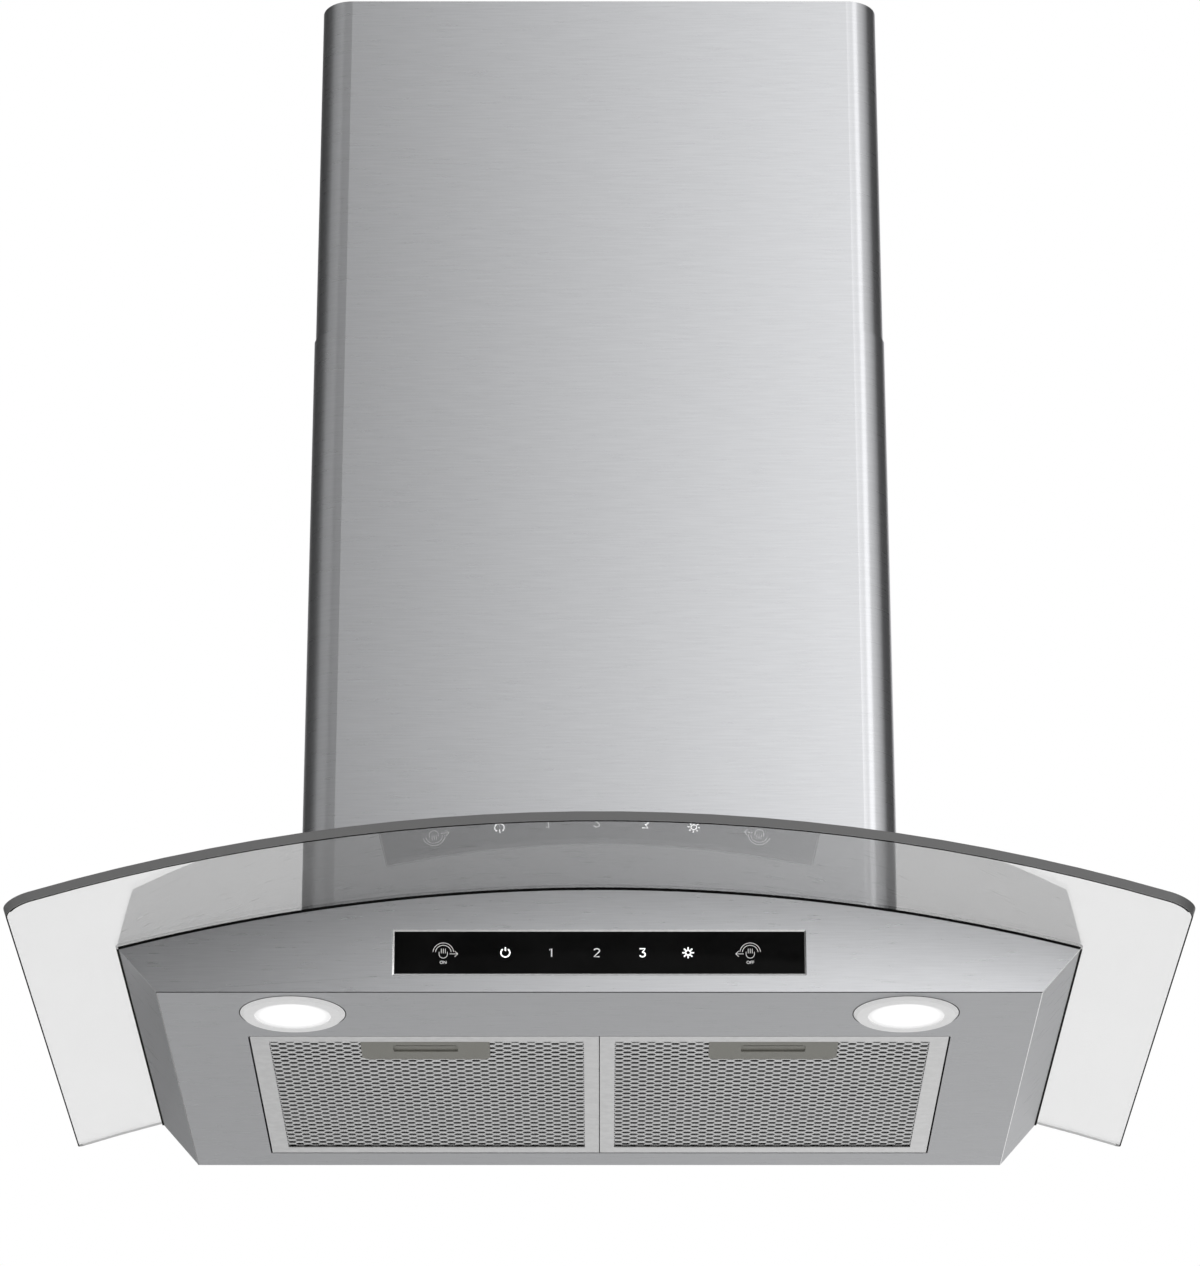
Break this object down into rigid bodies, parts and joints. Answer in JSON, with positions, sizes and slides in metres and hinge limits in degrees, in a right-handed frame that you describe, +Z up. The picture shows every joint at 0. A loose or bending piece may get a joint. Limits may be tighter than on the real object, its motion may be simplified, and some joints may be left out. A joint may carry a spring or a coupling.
{
  "type": "wall mount range hood",
  "caption": "Wall mount range hood with a curved glass canopy, steel body with touch control, lamps and drop-down grease filters, blower and telescoping chimney.",
  "frame": {"origin": "on the wall plane, at the middle of the rectangle of wall fixing holes", "axes": "+X to the viewer's right, +Y into the wall, +Z up"},
  "size_m": [0.75, 0.5, 0.8022],
  "materials": {
    "brushed_steel": "horizontal brushed grain",
    "galvanised_steel": "zinc coated",
    "clear_glass": "polished edges",
    "black_glass": "gloss back-printed",
    "black_rubber": "matt",
    "screw_steel": "bright plated",
    "black_plastic": "fine texture",
    "circuit_board": "lacquered",
    "lamp_trim": "satin",
    "lamp_lens": "frosted and lit",
    "lamp_can": "die cast",
    "spring_steel": "bright",
    "scroll_plastic": "moulded",
    "impeller_plastic": "moulded",
    "motor_metal": "pressed can",
    "collar_plastic": "moulded",
    "filter_aluminium": "mill finish",
    "handle_plastic": "satin"
  },
  "bodies": {
    "hood": {"body_shell": "brushed_steel", "front_panel": "brushed_steel", "deck_panel": "galvanised_steel", "glass_seal": "black_rubber", "glass_canopy": "clear_glass", "glass_washers": "black_rubber", "glass_screws": "screw_steel", "control_glass": "black_glass", "control_carrier": "black_plastic", "control_board": "circuit_board", "hand_sensors": "black_plastic", "blower_box": "galvanised_steel", "scroll_front": "scroll_plastic", "scroll_back": "scroll_plastic", "motor": "motor_metal", "motor_spider": "galvanised_steel", "outlet_collar": "collar_plastic", "power_box": "black_plastic", "power_lid": "black_plastic", "power_board": "circuit_board", "cable_gland": "black_plastic", "lower_chimney": "brushed_steel", "chimney_foot_left": "galvanised_steel", "chimney_foot_right": "galvanised_steel", "foot_screws": "screw_steel", "lamp_left_ring": "lamp_trim", "lamp_left_lens": "lamp_lens", "lamp_left_can": "lamp_can", "lamp_left_clips": "spring_steel", "lamp_right_ring": "lamp_trim", "lamp_right_lens": "lamp_lens", "lamp_right_can": "lamp_can", "lamp_right_clips": "spring_steel"},
    "upper_chimney": {"upper_chimney": "brushed_steel", "chimney_bracket": "galvanised_steel", "bracket_screws": "screw_steel"},
    "impeller": {"impeller": "impeller_plastic", "motor_shaft": "screw_steel", "impeller_nut": "screw_steel"},
    "flap_front": {"flap_front": "collar_plastic"},
    "flap_back": {"flap_back": "collar_plastic"},
    "filter_left": {"filter_left_frame": "filter_aluminium", "filter_left_mesh": "filter_aluminium", "filter_left_core": "filter_aluminium", "filter_left_handle": "handle_plastic", "latch_left_spring": "spring_steel"},
    "latch_left": {"latch_left": "handle_plastic"},
    "filter_right": {"filter_right_frame": "filter_aluminium", "filter_right_mesh": "filter_aluminium", "filter_right_core": "filter_aluminium", "filter_right_handle": "handle_plastic", "latch_right_spring": "spring_steel"},
    "latch_right": {"latch_right": "handle_plastic"}
  },
  "joints": [
    {"name": "chimney_slide", "type": "slide", "parent": "hood", "child": "upper_chimney", "axis": [0, 0, 1], "range_m": [-0.23, 0.137]},
    {"name": "impeller_spin", "type": "hinge", "parent": "hood", "child": "impeller", "pos_m": [-0.069, -0.1125, 0.047], "axis": [0, -1, 0], "continuous": true},
    {"name": "flap_front_hinge", "type": "hinge", "parent": "hood", "child": "flap_front", "pos_m": [0, -0.1185, 0.213], "axis": [-1, 0, 0], "range_deg": [0, 78]},
    {"name": "flap_back_hinge", "type": "hinge", "parent": "hood", "child": "flap_back", "pos_m": [0, -0.1065, 0.213], "axis": [1, 0, 0], "range_deg": [0, 78]},
    {"name": "filter_left_hinge", "type": "hinge", "parent": "hood", "child": "filter_left", "pos_m": [-0.1161, -0.0305, -0.129], "axis": [1, 0, 0], "range_deg": [0, 75]},
    {"name": "latch_left_slide", "type": "slide", "parent": "filter_left", "child": "latch_left", "axis": [0, 1, 0], "range_m": [0, 0.006], "stiffness_N_per_m": 300, "springref_m": -0.004, "deforming": ["latch_left_spring"]},
    {"name": "filter_right_hinge", "type": "hinge", "parent": "hood", "child": "filter_right", "pos_m": [0.1161, -0.0305, -0.129], "axis": [1, 0, 0], "range_deg": [0, 75]},
    {"name": "latch_right_slide", "type": "slide", "parent": "filter_right", "child": "latch_right", "axis": [0, 1, 0], "range_m": [0, 0.006], "stiffness_N_per_m": 300, "springref_m": -0.004, "deforming": ["latch_right_spring"]}
  ]
}
